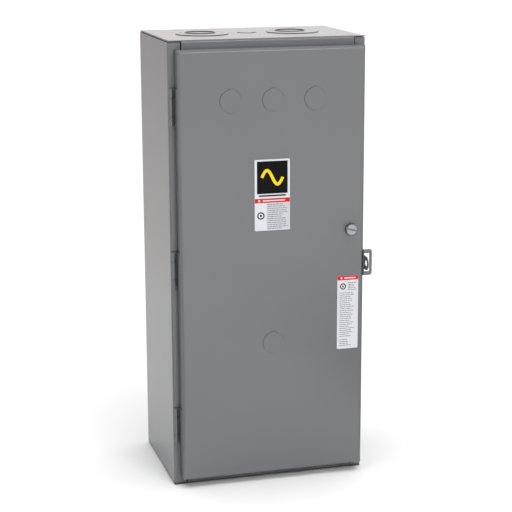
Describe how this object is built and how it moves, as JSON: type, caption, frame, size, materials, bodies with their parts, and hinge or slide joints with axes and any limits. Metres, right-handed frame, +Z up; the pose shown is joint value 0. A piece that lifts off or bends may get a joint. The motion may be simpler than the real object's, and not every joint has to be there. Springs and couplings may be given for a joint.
{
  "type": "magnetic motor starter",
  "caption": "Enclosed magnetic motor starter: tall grey sheet-steel wall box with a hinged padlockable door, holding a contactor and an overload relay.",
  "frame": {"origin": "on the wall plane, at the middle of the four wall-mounting holes", "axes": "+X to the right seen from the front, +Y into the wall, +Z up; the door faces -Y"},
  "size_m": [0.2944, 0.2216, 0.6453],
  "materials": {
    "enclosure_paint": "smooth semi-gloss grey enamel over sheet steel",
    "zinc_steel": "clear zinc plated steel",
    "galvanised_steel": "galvanised sheet steel",
    "black_moulding": "black phenolic moulding",
    "grey_moulding": "dark grey moulded cover",
    "laminated_steel": "stacked steel laminations, oiled",
    "coil_resin": "dark red-brown encapsulation",
    "copper": "copper, lightly tarnished",
    "spring_steel": "bright spring wire",
    "lug_metal": "tin plated aluminium",
    "label_film": "printed sticker with a white ground",
    "button_plastic": "blue moulded plastic",
    "dial_plastic": "white moulded plastic",
    "wire_black": "black insulation",
    "wire_red": "red insulation"
  },
  "bodies": {
    "enclosure": {"enclosure_wrapper": "enclosure_paint", "top_end_plate": "enclosure_paint", "bottom_end_plate": "enclosure_paint", "hinge_box_leaves": "enclosure_paint", "hinge_pins": "zinc_steel", "padlock_staple": "enclosure_paint", "mounting_pan": "galvanised_steel", "pan_standoffs": "zinc_steel", "pan_nuts": "zinc_steel", "ground_lug": "lug_metal", "ground_screws": "zinc_steel", "magnet_housing": "black_moulding", "magnet_core": "laminated_steel", "shading_rings": "copper", "operating_coil": "coil_resin", "contact_base": "black_moulding", "return_springs": "spring_steel", "line_contacts": "copper", "load_contacts": "copper", "arc_cover": "grey_moulding", "contactor_feet_screws": "zinc_steel", "contact_base_screws": "zinc_steel", "arc_cover_screws": "zinc_steel", "coil_terminals": "zinc_steel", "auxiliary_contact_block": "grey_moulding", "control_terminal_screws": "zinc_steel", "line_lugs": "lug_metal", "line_lug_screws": "zinc_steel", "overload_housing": "black_moulding", "overload_cover": "grey_moulding", "overload_straps": "copper", "heater_coils": "spring_steel", "bimetal_strips": "spring_steel", "load_tongues": "copper", "reset_spring": "spring_steel", "overload_cover_screws": "zinc_steel", "overload_terminal_screws": "zinc_steel", "load_lugs": "lug_metal", "load_lug_screws": "zinc_steel", "line_tap_wire": "wire_black", "coil_return_wire": "wire_red", "auxiliary_link_wire": "wire_red"},
    "door": {"door": "enclosure_paint", "hinge_door_leaves": "enclosure_paint", "hasp_plate": "enclosure_paint", "latch_bushing": "zinc_steel", "nameplate_label": "label_film", "caution_label": "label_film"},
    "latch": {"latch_knob": "zinc_steel", "latch_cam": "zinc_steel", "latch_cam_nut": "zinc_steel"},
    "contactor_movement": {"contact_carrier": "black_moulding", "armature": "laminated_steel", "moving_contacts": "copper", "contact_springs": "spring_steel", "auxiliary_plunger": "dial_plastic"},
    "reset_button": {"reset_button": "button_plastic"},
    "trip_slider": {"trip_slider": "dial_plastic"},
    "trip_dial": {"trip_dial": "dial_plastic"}
  },
  "joints": [
    {"name": "door_hinge", "type": "hinge", "parent": "enclosure", "child": "door", "pos_m": [-0.13978, -0.1928, 0], "axis": [0, 0, -1], "range_deg": [0, 170]},
    {"name": "latch_turn", "type": "hinge", "parent": "door", "child": "latch", "pos_m": [0.1171, -0.209, 0.048], "axis": [0, 1, 0], "range_deg": [0, 90]},
    {"name": "contactor_stroke", "type": "slide", "parent": "enclosure", "child": "contactor_movement", "axis": [0, 1, 0], "range_m": [0, 0.0066], "stiffness_N_per_m": 1500, "springref_m": -0.01, "deforming": ["return_springs"]},
    {"name": "reset_press", "type": "slide", "parent": "enclosure", "child": "reset_button", "axis": [0, 1, 0], "range_m": [0, 0.004], "stiffness_N_per_m": 500, "springref_m": -0.004, "deforming": ["reset_spring"]},
    {"name": "trip_slide", "type": "slide", "parent": "enclosure", "child": "trip_slider", "axis": [1, 0, 0], "range_m": [0, 0.0019], "stiffness_N_per_m": 300, "springref_m": -0.001},
    {"name": "dial_turn", "type": "hinge", "parent": "enclosure", "child": "trip_dial", "pos_m": [-0.024, -0.114, -0.03], "axis": [0, 1, 0], "range_deg": [-60, 60]}
  ]
}
